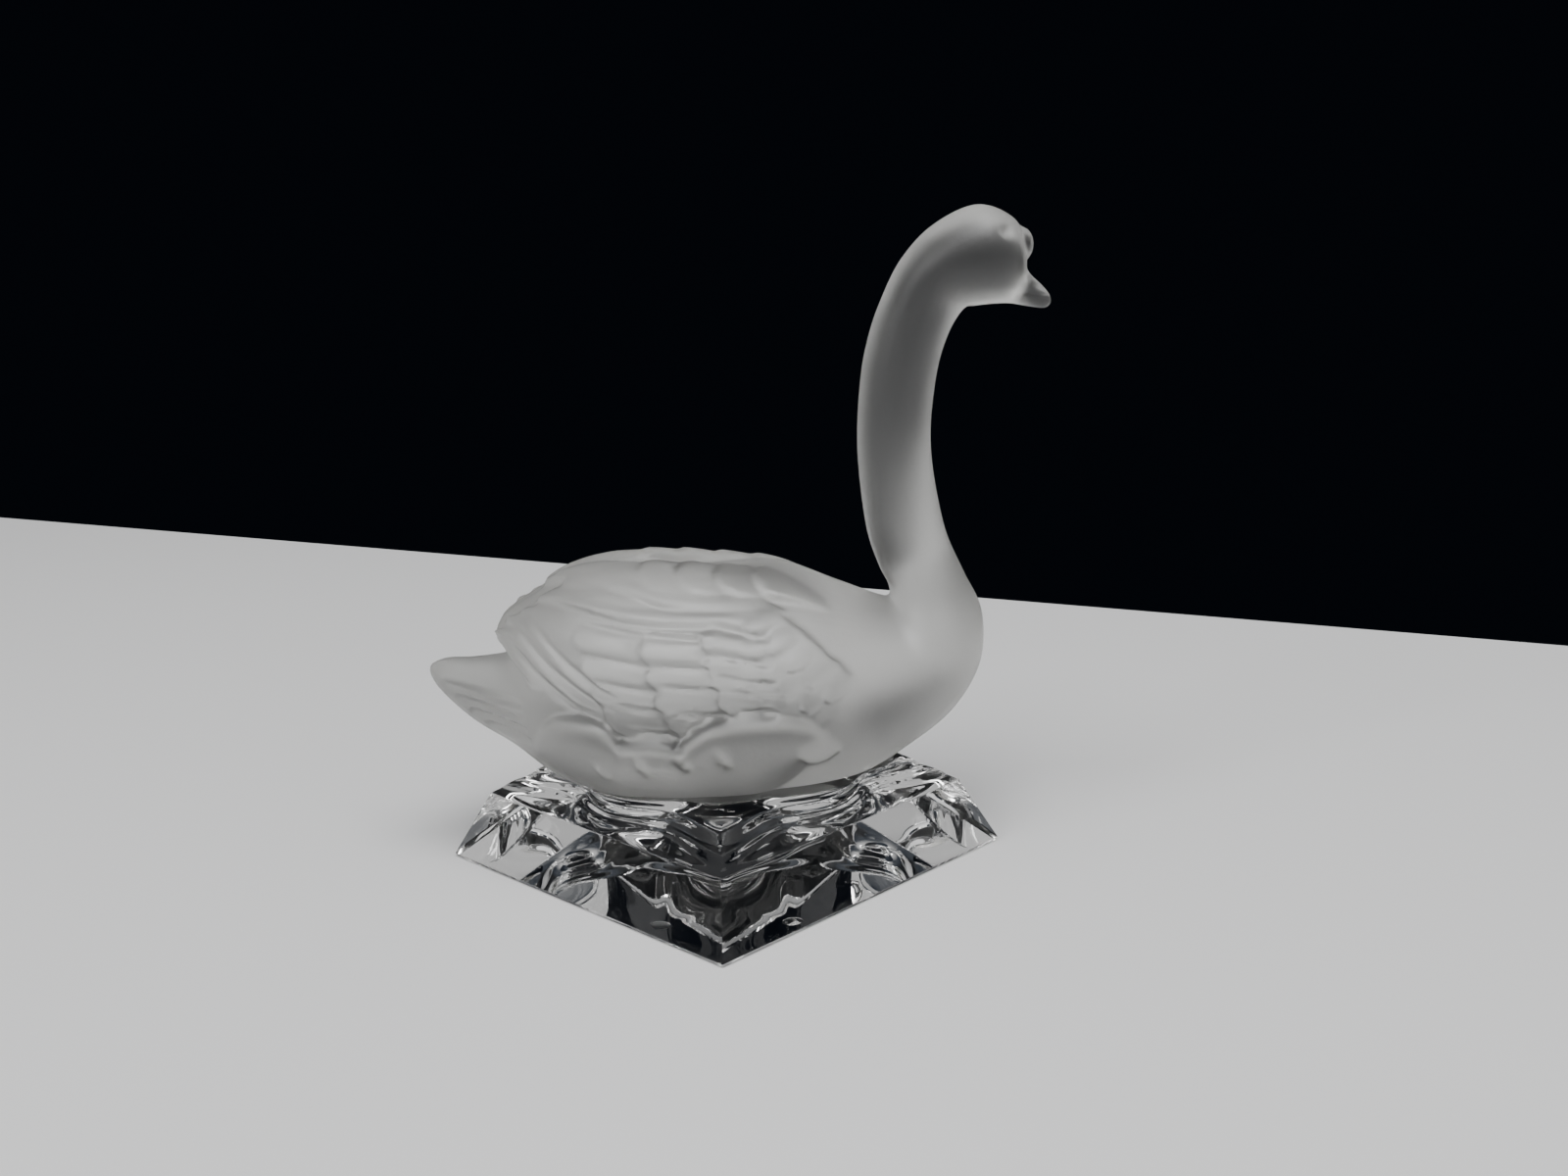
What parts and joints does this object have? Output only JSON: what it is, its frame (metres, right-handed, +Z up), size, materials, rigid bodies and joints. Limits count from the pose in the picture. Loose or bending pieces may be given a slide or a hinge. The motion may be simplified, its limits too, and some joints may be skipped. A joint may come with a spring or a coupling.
{
  "type": "swan figurine",
  "caption": "Frosted crystal swan with upright neck and folded feathered wings, cast with a clear rippled square base; a decorative sculpture that stands on its flat underside",
  "frame": {"origin": "centre of the base's flat underside", "axes": "+X the way the swan faces, +Z up, y = 0 the plane of symmetry; the corners of the square base lie on the X and Y axes"},
  "size_m": [0.11, 0.0992, 0.1139],
  "materials": {
    "crystal": "satin frosted on the swan, clear and polished on the base"
  },
  "bodies": {
    "root": {"swan_figurine": "crystal"}
  },
  "joints": []
}
